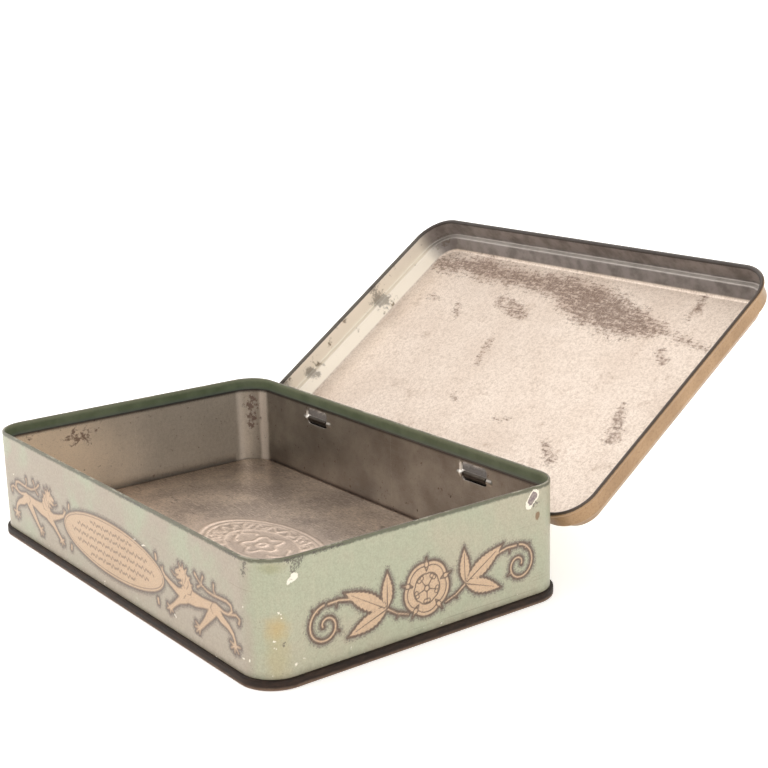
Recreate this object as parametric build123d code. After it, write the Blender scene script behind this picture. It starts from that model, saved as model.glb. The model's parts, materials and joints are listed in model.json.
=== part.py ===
"""Hinged rectangular biscuit tin, modelled with its lid open at the stop.

Frame: millimetres, +Z up. The origin is the centre of the tin's foot, on the
surface that the tin stands on. X runs along the long walls, -Y is the front and
+Y is the hinge side.

Sections of sheet metal are drawn as (n, z): n is the distance out from the outer
face of the body wall, so n is negative inside the tin. Each section is then
carried once round the rounded rectangle of the body.
"""
from build123d import *
from math import cos, radians, sin
import os

# ---------------------------------------------------------------- driving sizes
# Body
body_length = 150.0       # outside of the wall, along X
body_width = 94.5         # outside of the wall, along Y
body_corner_radius = 9.0  # outside of the wall, seen from above
rim_height = 32.3         # foot to the top of the rolled-in rim
wall_sheet = 0.35
rim_hem_height = 4.0      # depth of the inward fold round the mouth

# Base and the seam that holds it
base_sheet = 0.30
floor_height = 4.1        # foot to the upper face of the floor
floor_bend_radius = 0.8
seam_height = 2.6
seam_projection = 0.9     # how far the seam stands out from the wall
seam_edge_radius = 0.5
flange_height = 1.2       # foot to the underside of the wall's flange in the seam
flange_reach = 0.45

# Lid
lid_sheet = 0.30
skirt_clearance = 1.1     # outer face of the wall to the inner face of the skirt
mouth_curl_diameter = 1.4 # outward roll round the mouth of the lid
skirt_depth = 6.15        # mouth of the lid to the underside of its ledge
ledge_width = 1.7         # inner face of the skirt to the inner corner of the ledge
shoulder_width = 2.1      # inner corner of the ledge to the edge of the flat panel
panel_depth = 10.6        # mouth of the lid to the inner face of the panel
ledge_bend_radius = 0.6
shoulder_bend_radius = 1.2
ledge_rest_gap = 0.15     # left between the ledge and the rim when the lid is shut

# Hinges
hinge_spacing = 77.8      # centre to centre of the two slots
hinge_drop = 8.65         # rim down to the hinge axis
pin_diameter = 1.0
pin_running_clearance = 0.05
lug_sheet = 0.30
lug_width = 9.6
lug_side_clearance = 0.6
lug_solder_height = 3.2   # overlap of the lug on the inner face of the skirt
slot_above_axis = 3.65
slot_end_radius = 1.2
lug_swing_gap = 0.31      # open lug to the lower edge of its slot
bridge_length = 2.4       # pressed loop of the wall that grips each end of a pin
bridge_sheet = 0.5
opening_angle = 144.6     # shut to fully open

# ---------------------------------------------------------------- derived sizes
rim_thickness = 2 * wall_sheet
mouth_height = rim_height + ledge_rest_gap - skirt_depth  # of the shut lid

curl_inner_radius = pin_diameter / 2 + pin_running_clearance
curl_outer_radius = curl_inner_radius + lug_sheet
axis_height = rim_height - hinge_drop
# the lug runs straight down the inner face of the skirt into its curl
axis_offset = skirt_clearance - curl_outer_radius
axis_y = body_width / 2 + axis_offset
# the open lug leans over the lower edge of its slot, at the wall's outer face
lug_lean = radians(180 - opening_angle)
slot_below_axis = (curl_outer_radius + lug_swing_gap - axis_offset * cos(lug_lean)) / sin(lug_lean)
slot_length = lug_width + 2 * lug_side_clearance
pin_length = slot_length + 2 * bridge_length
hinge_axis = Axis((0, axis_y, axis_height), (1, 0, 0))


# ---------------------------------------------------------------- section tools
def block(n_min, n_max, z_min, z_max):
    """Rectangle of a section."""
    return Pos((n_min + n_max) / 2, (z_min + z_max) / 2) * Rectangle(n_max - n_min, z_max - z_min)


def disc(n, z, radius):
    """Circle of a section."""
    return Pos(n, z) * Circle(radius)


def bent_strip(points, bends, thickness):
    """Sheet of one thickness whose centre line runs through the points, with a bend at each corner."""
    line = [Vector(*p) for p in points]
    runs = [(b - a).normalized() for a, b in zip(line, line[1:])]
    normals = [Vector(-run.Y, run.X) for run in runs]

    def side(sign):
        """The strip's face on one side: each corner moved to where the two offset runs meet."""
        reach = sign * thickness / 2
        moved = [line[0] + normals[0] * reach]
        radii = []
        for corner, before, after, bend in zip(line[1:-1], normals, normals[1:], bends):
            mitre = (before + after) * (reach / (1 + before.dot(after)))
            turn = before.X * after.Y - before.Y * after.X
            moved.append(corner + mitre)
            radii.append(bend - reach if turn > 0 else bend + reach)
        moved.append(line[-1] + normals[-1] * reach)
        return FilletPolyline(*moved, radius=radii)

    left, right = side(1), side(-1)
    return make_face([*left.edges(), *right.edges(), Line(left @ 0, right @ 0), Line(left @ 1, right @ 1)])


def carried_round(section):
    """Sweep a section round the outer face of the body wall."""
    path = RectangleRounded(body_length, body_width, body_corner_radius).wire()
    tangent = path % 0
    outward = tangent.cross(Vector(0, 0, 1))
    if outward.dot(path @ 0) < 0:
        outward = -outward
    plane = Plane(origin=path @ 0, x_dir=outward, z_dir=outward.cross(Vector(0, 0, 1)))
    return sweep(plane * section, path=path)


def flat_sheet(outward, z_min, thickness):
    """Rounded rectangular sheet whose edge lies this far out from the wall."""
    outline = RectangleRounded(
        body_length + 2 * outward, body_width + 2 * outward, body_corner_radius + outward
    )
    return Pos(0, 0, z_min) * extrude(outline, thickness)


def opened(part):
    """Turn a part drawn on the shut lid to where the open lid holds it."""
    return part.rotate(hinge_axis, -opening_angle)


# ---------------------------------------------------------------- body
def wall_section():
    """Upright sheet with its rim folded in at the top and its flange turned out at the foot."""
    sheet = block(-wall_sheet, 0, flange_height, rim_height - wall_sheet)
    hem = block(-rim_thickness, 0, rim_height - rim_hem_height, rim_height - wall_sheet)
    fold = disc(-rim_thickness / 2, rim_height - rim_thickness / 2, rim_thickness / 2)
    flange = block(-wall_sheet, flange_reach, flange_height, flange_height + wall_sheet)
    return sheet + hem + fold + flange


def make_body_wall(hinge_centres):
    """The wall, with a slot and two pressed pin loops at each hinge."""
    wall = carried_round(wall_section())
    slot_height = slot_above_axis + slot_below_axis
    slot_middle = axis_height + (slot_above_axis - slot_below_axis) / 2
    loop_radius = pin_diameter / 2 + bridge_sheet
    for x in hinge_centres:
        slot_face = Plane.XZ * RectangleRounded(slot_length, slot_height, slot_end_radius)
        slot = extrude(slot_face, 2 * rim_thickness, both=True)
        for end in (-1, 1):
            middle = x + end * (slot_length + bridge_length) / 2
            loop = Cylinder(loop_radius, bridge_length, rotation=(0, 90, 0))
            wall += Pos(middle, axis_y, axis_height) * loop
        wall -= Pos(x, body_width / 2, slot_middle) * slot
        wall -= Pos(x, axis_y, axis_height) * Cylinder(pin_diameter / 2, pin_length, rotation=(0, 90, 0))
    return wall


def make_base_panel():
    """Sunk floor whose edge is rolled round the wall's flange as the seam at the foot."""
    bead = block(-wall_sheet - base_sheet, seam_projection, 0, seam_height)
    outer_edges = bead.vertices().sort_by(Axis.X)[-2:]
    bead = fillet(outer_edges, seam_edge_radius)
    floor_reach = -wall_sheet - base_sheet - 2 * floor_bend_radius
    upright = -wall_sheet - base_sheet / 2
    floor_middle = floor_height - base_sheet / 2
    tray = bent_strip(
        [(upright, seam_height / 2), (upright, floor_middle), (floor_reach, floor_middle)],
        [floor_bend_radius],
        base_sheet,
    )
    edge = carried_round(bead + tray - wall_section())
    return edge + flat_sheet(floor_reach, floor_height - base_sheet, base_sheet)


def make_pin(x):
    """Wire held at both ends in the wall's loops."""
    return Pos(x, axis_y, axis_height) * Cylinder(pin_diameter / 2, pin_length, rotation=(0, 90, 0))


# ---------------------------------------------------------------- lid
def make_lid_shell():
    """Skirt with a rolled mouth, a ledge that sits on the rim, a sloped shoulder and a flat panel."""
    half = lid_sheet / 2
    curl_radius = mouth_curl_diameter / 2
    ledge_reach = skirt_clearance - ledge_width
    shoulder_reach = ledge_reach - shoulder_width
    panel_reach = shoulder_reach - 4 * shoulder_bend_radius
    ledge_z = mouth_height + skirt_depth + half
    panel_z = mouth_height + panel_depth + half
    sheet = bent_strip(
        [
            (skirt_clearance + half, mouth_height + curl_radius),
            (skirt_clearance + half, ledge_z),
            (ledge_reach, ledge_z),
            (shoulder_reach, panel_z),
            (panel_reach, panel_z),
        ],
        [ledge_bend_radius, ledge_bend_radius, shoulder_bend_radius],
        lid_sheet,
    )
    curl = disc(skirt_clearance + curl_radius, mouth_height + curl_radius, curl_radius)
    shell = carried_round(sheet + curl)
    return opened(shell + flat_sheet(panel_reach, panel_z - half, lid_sheet))


def make_lug(x):
    """Strip soldered inside the back of the skirt, with its lower end curled round the pin."""
    curl = Circle(curl_outer_radius)
    strip_height = mouth_height - axis_height + lug_solder_height
    strip = Pos((curl_inner_radius + curl_outer_radius) / 2, strip_height / 2) * Rectangle(lug_sheet, strip_height)
    section = curl + strip - Circle(curl_inner_radius)
    plane = Plane(origin=(x - lug_width / 2, axis_y, axis_height), x_dir=(0, 1, 0), z_dir=(1, 0, 0))
    return opened(extrude(plane * section, lug_width))


# ---------------------------------------------------------------- parts
hinges = {"left": -hinge_spacing / 2, "right": hinge_spacing / 2}
parts = {
    "body_wall": make_body_wall(hinges.values()),
    "base_panel": make_base_panel(),
    "lid_shell": make_lid_shell(),
}
for name, x in hinges.items():
    parts[f"hinge_pin_{name}"] = make_pin(x)
    parts[f"hinge_lug_{name}"] = make_lug(x)

os.makedirs("parts", exist_ok=True)
for name, part in parts.items():
    export_step(part, f"parts/{name}.step")

print(f"hinge axis: y {axis_y:.3f}, z {axis_height:.3f}; shut lid's mouth: z {mouth_height:.3f}")
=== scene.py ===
"""Looks of an old hinged tinplate box, standing open on a pale studio floor.

Lengths are millimetres until a mesh is made, in the frame of the model: the origin is
the centre of the tin's foot, X runs along the long walls, -Y is the front and +Z is up.
A section of sheet metal is a line of (n, z), where n is the distance out from the outer
face of the body wall. Distances round the wall start at the middle of the front.
"""
import json
import math

import bmesh
import bpy
import numpy as np
from mathutils import Matrix, Vector


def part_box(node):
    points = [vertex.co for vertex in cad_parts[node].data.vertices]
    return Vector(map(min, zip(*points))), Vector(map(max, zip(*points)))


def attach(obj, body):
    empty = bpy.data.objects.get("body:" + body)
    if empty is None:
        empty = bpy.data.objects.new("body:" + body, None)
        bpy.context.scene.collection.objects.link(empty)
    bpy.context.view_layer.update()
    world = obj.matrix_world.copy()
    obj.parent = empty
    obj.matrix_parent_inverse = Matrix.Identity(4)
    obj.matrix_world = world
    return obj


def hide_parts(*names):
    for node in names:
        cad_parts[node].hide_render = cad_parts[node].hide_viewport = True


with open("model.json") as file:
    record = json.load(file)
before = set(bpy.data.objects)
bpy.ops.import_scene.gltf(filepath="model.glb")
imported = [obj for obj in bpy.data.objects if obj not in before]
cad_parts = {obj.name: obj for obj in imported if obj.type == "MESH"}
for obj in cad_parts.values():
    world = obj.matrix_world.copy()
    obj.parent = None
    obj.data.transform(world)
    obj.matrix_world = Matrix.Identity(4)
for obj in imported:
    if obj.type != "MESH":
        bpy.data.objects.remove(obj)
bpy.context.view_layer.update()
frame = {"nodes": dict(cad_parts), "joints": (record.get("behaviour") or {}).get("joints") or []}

METRES = 0.001  # one millimetre

# ------------------------------------------------------------------ sizes from the frame
FLANGE_REACH = 0.45
wall_high = np.array(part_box("body_wall")[1]) / METRES
base_high = np.array(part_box("base_panel")[1]) / METRES
HALF_LENGTH = wall_high[0] - FLANGE_REACH
SEAM_REACH = base_high[0] - HALF_LENGTH
HALF_WIDTH = base_high[1] - SEAM_REACH
RIM = wall_high[2]
FLOOR = base_high[2]

hinge = frame["joints"][0]
AXIS_Y, AXIS_Z = np.array(hinge["pos_m"][1:]) / METRES
OPENING = math.radians(-hinge["range_deg"][0])
pin_low, pin_high = (np.array(corner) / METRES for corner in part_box("hinge_pin_right"))
lug_low, lug_high = (np.array(corner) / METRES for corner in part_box("hinge_lug_right"))
HINGE_X = (pin_low[0] + pin_high[0]) / 2

# ------------------------------------------------------------------ sheet metal sizes
CORNER = 9.0  # outside radius of the wall's upright corners
WALL_SHEET = 0.35
HEM_DEPTH = 4.0
WALL_FOOT = 1.2
SEAM_HEIGHT = 2.6
SEAM_EDGE = 0.5
BASE_SHEET = 0.30
FLOOR_BEND = 0.8

LID_SHEET = 0.30
SKIRT_GAP = 1.1  # wall to the inner face of the skirt
SKIRT_DEPTH = 6.15  # mouth to the underside of the ledge
REST_GAP = 0.15  # rim to the ledge of the shut lid
PANEL_DEPTH = 10.6  # mouth to the inner face of the panel
LEDGE_WIDTH = 1.7
SHOULDER_WIDTH = 2.1
MOUTH = RIM + REST_GAP - SKIRT_DEPTH  # mouth of the shut lid
LEDGE = MOUTH + SKIRT_DEPTH
PANEL = MOUTH + PANEL_DEPTH
CURL = 0.7  # radius of the roll round the mouth
LEDGE_REACH = SKIRT_GAP - LEDGE_WIDTH
SHOULDER_REACH = LEDGE_REACH - SHOULDER_WIDTH
LEDGE_BEND = 0.6
SHOULDER_BEND = 1.2

LUG_SIDE_GAP = 0.6
SLOT_BELOW, SLOT_ABOVE = 1.65, 3.65  # the slot's edges from the hinge axis
SLOT_HALF = (lug_high[0] - lug_low[0]) / 2 + LUG_SIDE_GAP
SLOT_LOW, SLOT_HIGH = AXIS_Z - SLOT_BELOW, AXIS_Z + SLOT_ABOVE
SLOT_CORNER = 1.2
LOOP_RADIUS = 1.0  # outside of the loops that hold the pins
LOOP_LENGTH = 2.4
LOOP_END = 0.7  # length of a loop's rounded end
LOOP_SHEET = 0.5

FINE = 0.3  # spacing of the mesh where the print is
PRINT_LOW, PRINT_HIGH = 5.2, 23.4
PRINT_SHIFT = 0.8  # the print sits this far right of the middle of each wall
LONG_PRINT, SHORT_PRINT = 66.3, 36.3  # half-lengths of the printed stretches
FAR = 9.0  # distance given where there is no print
SUPPORT = 0.12  # a row this near each bend keeps the flat beside it flat in the light
TOUCHING = 0.05  # lines of the mesh nearer than this count as one
CORNER_STEPS = 22  # steps round each corner of the wall


# ------------------------------------------------------------------ small shape tools
def spaced(start, *stops):
    """Even spacings from start through each stop, which is (place, steps from the last place)."""
    runs = [np.array([start])]
    for place, count in stops:
        runs.append(np.linspace(runs[-1][-1], place, count + 1)[1:])
    return np.concatenate(runs)


def steps(length, size):
    """How many steps of about this size fill the length."""
    return max(1, round(length / size))


def arc(centre, radius, start, end, count):
    """Points on a circle from angle start to angle end, in degrees, both ends kept."""
    angle = np.radians(np.linspace(start, end, count + 1))
    return np.stack([centre[0] + radius * np.cos(angle), centre[1] + radius * np.sin(angle)], 1)


def bent_face(points, bends, offset, count=6):
    """One face of a bent sheet: its centre line moved sideways by offset.

    Each corner goes to where the two moved runs meet and is rounded by a true arc, whose
    radius is the bend of the centre line more or less the offset.
    """
    line = np.array(points, float)
    run = np.diff(line, axis=0)
    run /= np.linalg.norm(run, axis=1)[:, None]
    side = np.stack([-run[:, 1], run[:, 0]], 1)
    face = [line[0] + side[0] * offset]
    for corner, before, after, s0, s1, bend in zip(line[1:], run, run[1:], side, side[1:], bends):
        turn = math.atan2(before[0] * after[1] - before[1] * after[0], before @ after)
        radius = bend - abs(offset) if turn * offset > 0 else bend + abs(offset)
        mitre = corner + (s0 + s1) * offset / (1 + s0 @ s1)
        first = mitre - before * radius * math.tan(abs(turn) / 2)
        hub = first + s0 * math.copysign(radius, turn)
        angle = np.linspace(0, turn, count + 1)[:, None]
        spoke = first - hub
        across = np.array([-spoke[1], spoke[0]])
        bend_line = hub + spoke * np.cos(angle) + across * np.sin(angle)
        face.extend([first - before * SUPPORT, *bend_line, bend_line[-1] + after * SUPPORT])
    face.append(line[-1] + side[-1] * offset)
    return np.array(face)


# ------------------------------------------------------------------ the rounded rectangle
QUARTER_ARC = CORNER * math.pi / 2
QUARTER = HALF_LENGTH + HALF_WIDTH - 2 * CORNER + QUARTER_ARC  # middle of one side to the next


def around(s):
    """Points and outward directions at distances s round the wall.

    Each quarter runs half a side, a corner and half the next side, and is the first one
    turned by a right angle; odd quarters swap the two half sides.
    """
    quarter = np.floor(s / QUARTER)
    t = s - quarter * QUARTER
    odd = quarter % 2 == 1
    first = np.where(odd, HALF_WIDTH, HALF_LENGTH) - CORNER
    second = np.where(odd, HALF_LENGTH, HALF_WIDTH) - CORNER
    angle = np.clip((t - first) / CORNER, 0, math.pi / 2)
    x = np.minimum(t, first) + CORNER * np.sin(angle)
    y = -second - CORNER * np.cos(angle) + np.maximum(t - first - QUARTER_ARC, 0)
    turn = quarter * math.pi / 2
    cos, sin = np.cos(turn), np.sin(turn)
    nx, ny = np.sin(angle), -np.cos(angle)
    return np.stack([x * cos - y * sin, x * sin + y * cos, nx * cos - ny * sin, nx * sin + ny * cos], -1)


def rounded_grid(xs, ys, reach):
    """Grid over the rounded rectangle whose edge lies at distance reach from the wall.

    Inside the square of each corner a point (a, b) of the unit square goes to
    (a sqrt(1 - b b / 2), b sqrt(1 - a a / 2)) of the quarter disc. xs and ys run from -1 to 1.
    """
    radius = CORNER + reach
    half = np.array([HALF_LENGTH + reach, HALF_WIDTH + reach])
    x, y = np.meshgrid(xs * half[0], ys * half[1], indexing="ij")
    a = np.clip((np.abs(x) - half[0] + radius) / radius, 0, 1)
    b = np.clip((np.abs(y) - half[1] + radius) / radius, 0, 1)
    inner_x, inner_y = half - radius
    px = np.minimum(np.abs(x), inner_x) + radius * a * np.sqrt(1 - b * b / 2)
    py = np.minimum(np.abs(y), inner_y) + radius * b * np.sqrt(1 - a * a / 2)
    return np.copysign(px, x), np.copysign(py, y)


def corner_starts(reach):
    """Where the corners begin along the two half sides of such a grid, from 0 to 1."""
    return [(half - CORNER) / (half + reach) for half in (HALF_LENGTH, HALF_WIDTH)]


def outward(x, y):
    """Outward direction at points of an edge: square to a side, or away from a corner's centre."""
    inner = np.array([HALF_LENGTH, HALF_WIDTH]) - CORNER
    nx = np.sign(x) * np.maximum(np.abs(x) - inner[0], 0)
    ny = np.sign(y) * np.maximum(np.abs(y) - inner[1], 0)
    size = np.hypot(nx, ny)
    return nx / size, ny / size


# ------------------------------------------------------------------ making pieces
def strip_faces(rows, across_closed=False):
    """Quads between neighbouring rows of vertex numbers, each row one line of the grid."""
    rows = np.asarray(rows)
    if across_closed:
        rows = np.concatenate([rows, rows[:, :1]], 1)
    return np.stack([rows[:-1, :-1], rows[:-1, 1:], rows[1:, 1:], rows[1:, :-1]], -1).reshape(-1, 4)


def make_piece(name, points, faces, marks, finishes, attributes=()):
    """A smooth mesh in metres; marks holds each face's number in the list of finishes."""
    mesh = bpy.data.meshes.new(name)
    mesh.vertices.add(len(points))
    mesh.vertices.foreach_set("co", (points * METRES).astype(np.float32).ravel())
    mesh.loops.add(faces.size)
    mesh.loops.foreach_set("vertex_index", faces.astype(np.int32).ravel())
    mesh.polygons.add(len(faces))
    mesh.polygons.foreach_set("loop_start", np.arange(0, faces.size, 4, dtype=np.int32))
    for finish in finishes:
        mesh.materials.append(finish)
    mesh.polygons.foreach_set("material_index", np.asarray(marks, np.int32))
    for key, values in dict(attributes).items():
        mesh.attributes.new(key, "FLOAT", "POINT").data.foreach_set("value", values.astype(np.float32))
    mesh.update(calc_edges=True)
    mesh.polygons.foreach_set("use_smooth", np.ones(len(faces), bool))
    piece = bpy.data.objects.new(name, mesh)
    bpy.context.scene.collection.objects.link(piece)
    return piece


def boundary(grid):
    """Vertex numbers round the edge of a grid, anticlockwise seen from above."""
    return np.concatenate([grid[:-1, 0], grid[-1, :-1], grid[:0:-1, -1], grid[0, :0:-1]])


def make_pan(xs, ys, reach, top, section, bottom):
    """Closed shell: a sheet from one side, its rolled edge carried round, and the other side.

    top and bottom give the height of each side at (x, y). section is the edge, from the
    top side's rim to the bottom side's, without those two rims. Returns points, faces,
    and for each face its row: -1 on the top side, -2 on the bottom side, else the row.
    """
    x, y = rounded_grid(xs, ys, reach)
    count = x.size
    grid = np.arange(count).reshape(x.shape)
    edge = boundary(grid)
    ex, ey = x.ravel()[edge], y.ravel()[edge]
    nx, ny = outward(ex, ey)
    out = section[:, 0, None] - reach
    rise = np.broadcast_to(section[:, 1, None], (len(section), len(edge)))
    rings = np.stack([ex + nx * out, ey + ny * out, rise], -1)
    sides = [np.stack([x, y, height(x, y)], -1).reshape(-1, 3) for height in (top, bottom)]
    points = np.concatenate([sides[0], rings.reshape(-1, 3), sides[1]])
    ring_rows = count + np.arange(rings[..., 0].size).reshape(rings.shape[:2])
    last = count + rings[..., 0].size
    rows = np.concatenate([edge[None], ring_rows, edge[None] + last])
    top_faces = strip_faces(grid)[:, ::-1]
    edge_faces = strip_faces(rows, across_closed=True)[:, ::-1]
    bottom_faces = strip_faces(grid) + last
    marks = np.concatenate([
        np.full(len(top_faces), -1), np.arange(len(edge_faces)) // len(edge), np.full(len(bottom_faces), -2),
    ])
    return points, np.concatenate([top_faces, edge_faces, bottom_faces]), marks


def turned_open(points):
    """Shut lid turned to where the open lid stands: a turn about the hinge axis."""
    y, z = points[:, 1] - AXIS_Y, points[:, 2] - AXIS_Z
    cos, sin = math.cos(OPENING), math.sin(OPENING)
    return np.stack([points[:, 0], AXIS_Y + y * cos + z * sin, AXIS_Z - y * sin + z * cos], 1)


# ------------------------------------------------------------------ print: distances in mm
def run_distance(u, z, start, end):
    """Distance to the run from start to end, each (u, z, radius), less the radius between."""
    du, dz = end[0] - start[0], end[1] - start[1]
    t = np.clip(((u - start[0]) * du + (z - start[1]) * dz) / (du * du + dz * dz), 0, 1)
    return np.hypot(u - start[0] - t * du, z - start[1] - t * dz) - start[2] - t * (end[2] - start[2])


def stroke(u, z, *points):
    """Distance to a stroke through points (u, z, radius); negative inside it."""
    return np.minimum.reduce([run_distance(u, z, a, b) for a, b in zip(points, points[1:])])


def strokes(u, z, *lines):
    """Distance to the nearest of several strokes, each a row of points."""
    return np.minimum.reduce([stroke(u, z, *line) for line in lines])


def melted(first, second, width):
    """Smooth union: the smaller distance, rounded where the two are within width of each other."""
    mixed = np.clip(0.5 + (second - first) / (2 * width), 0, 1)
    return second * (1 - mixed) + first * mixed - width * mixed * (1 - mixed)


def leaf(u, z, base, tip, width, teeth):
    """Serrated leaf and its mid-vein: half-width is width sin(pi t^0.8) with saw teeth."""
    du, dz = tip[0] - base[0], tip[1] - base[1]
    length = math.hypot(du, dz)
    along = ((u - base[0]) * du + (z - base[1]) * dz) / length ** 2
    across = np.abs(((z - base[1]) * du - (u - base[0]) * dz) / length)
    t = np.clip(along, 0, 1)
    half = width * np.sin(math.pi * t ** 0.8) * (0.88 + 0.16 * (1 - (t * teeth) % 1))
    outside = np.maximum(np.abs(along - 0.5) - 0.5, 0) * length
    blade = np.hypot(np.maximum(across - half, 0), outside) + np.minimum(across - half, 0) * 0.8
    vein = stroke(u, z, (base[0], base[1], 0.14), (base[0] + 0.8 * du, base[1] + 0.8 * dz, 0.07))
    return blade, vein


def spiral(u, z, hub, start, end, tightening, width):
    """Tendril: radius falls evenly from start by tightening for each turn, until radius end."""
    radius = np.hypot(u - hub[0], z - hub[1])
    turn = (0.25 - np.arctan2(z - hub[1], u - hub[0]) / (2 * math.pi)) % 1
    best = np.full(u.shape, FAR)
    for lap in range(math.ceil((start - end) / tightening)):
        here = start - tightening * (turn + lap)
        best = np.minimum(best, np.where(here > end, np.abs(radius - here), FAR))
    last = (start - end) / tightening * 2 * math.pi
    tail = np.hypot(u - hub[0] - end * math.sin(last), z - hub[1] - end * math.cos(last))
    return np.minimum(best, tail) - width


def rose(u, z, centre, size):
    """Heraldic five-petalled rose: fill and drawn lines.

    Outer petals r = size (0.9 + 0.1 sqrt|sin 2.5 a|), inner petals 0.56 of that, sepals
    between the outer petals, spokes between the inner ones and a round boss.
    """
    x, y = u - centre[0], z - centre[1]
    radius = np.hypot(x, y)
    angle = np.arctan2(x, y)
    lobe = np.sqrt(np.abs(np.sin(2.5 * angle)))
    outer = radius - size * (0.9 + 0.1 * lobe)
    fifth = 2 * math.pi / 5
    folded = np.abs((angle + fifth / 2) % fifth - fifth / 2)
    along, across = radius * np.cos(folded), radius * np.sin(folded)
    sepal = stroke(across, along, (0, size * 0.86, 0.62), (0, size * 1.1, 0.12))
    fill = np.minimum(outer, sepal)
    inner_edge = np.abs(radius - size * 0.56 * (0.9 + 0.1 * lobe)) - 0.15
    rolled = np.abs(radius - size * (0.72 + 0.13 * lobe)) - 0.13
    cleft = stroke(
        across, along, (0.1, size * 0.62, 0.13), (0.62, size * 0.8, 0.13), (0.7, size * 0.93, 0.13)
    )
    half_fold = np.abs(folded - fifth / 2)
    spoke_along, spoke_across = radius * np.cos(half_fold), radius * np.sin(half_fold)
    spoke = stroke(spoke_across, spoke_along, (0, 0.9, 0.16), (0, size * 0.42, 0.1))
    curl = np.abs(np.hypot(across - 1.55, along - size * 0.4) - 0.55) - 0.12
    boss = np.abs(radius - 0.75) - 0.14
    return fill, np.minimum.reduce([inner_edge, rolled, cleft, spoke, boss, curl])


def rose_print(u, z):
    """Side wall print: a rose between two sprays, each with three leaves and a thorned tendril."""
    v = np.abs(u - PRINT_SHIFT)
    fill, lines = rose(u - PRINT_SHIFT, z, (0, 14.0), 7.3)
    node_u, node_z = 12.3, 11.9
    stalk = stroke(v, z, (5.9, 8.8, 0.42), (9.3, 9.9, 0.42), (node_u, node_z, 0.5))
    thorns = strokes(
        v, z,
        ((8.8, 9.6, 0.3), (9.5, 8.9, 0.1)), ((32.6, 16.6, 0.45), (34.0, 17.4, 0.1)),
        ((27.6, 10.8, 0.45), (26.4, 10.3, 0.1)), ((27.2, 17.7, 0.35), (27.1, 16.5, 0.1)),
    )
    stem = stroke(
        v, z, (node_u, node_z, 0.4), (18.0, 15.4, 0.45), (23.4, 17.4, 0.5), (26.3, 18.0, 0.5),
        (29.4, 17.9, 0.5),
    )
    tendril = spiral(v, z, (30.3, 12.6), 5.35, 0.9, 3.55, 0.5)
    fill = np.minimum.reduce([fill, stalk, stem, tendril, thorns])
    for tip, width, teeth in (((12.0, 21.8), 1.9, 9), ((25.2, 19.6), 2.45, 12), ((24.4, 7.8), 2.25, 10)):
        blade, vein = leaf(v, z, (node_u, node_z), tip, width, teeth)
        seam = np.where(blade > 0, np.abs(blade) - 0.16, FAR)
        lines = np.where(blade < 0, vein, np.minimum(lines, np.where(fill < 0, seam, FAR)))
        fill = np.minimum(fill, blade)
    return fill, lines


def toes(v, z, heel, *tips):
    """Clawed paw: a short toe from the heel to each tip."""
    return strokes(v, z, *[((*heel, 0.55), (*tip, 0.36)) for tip in tips])


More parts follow.
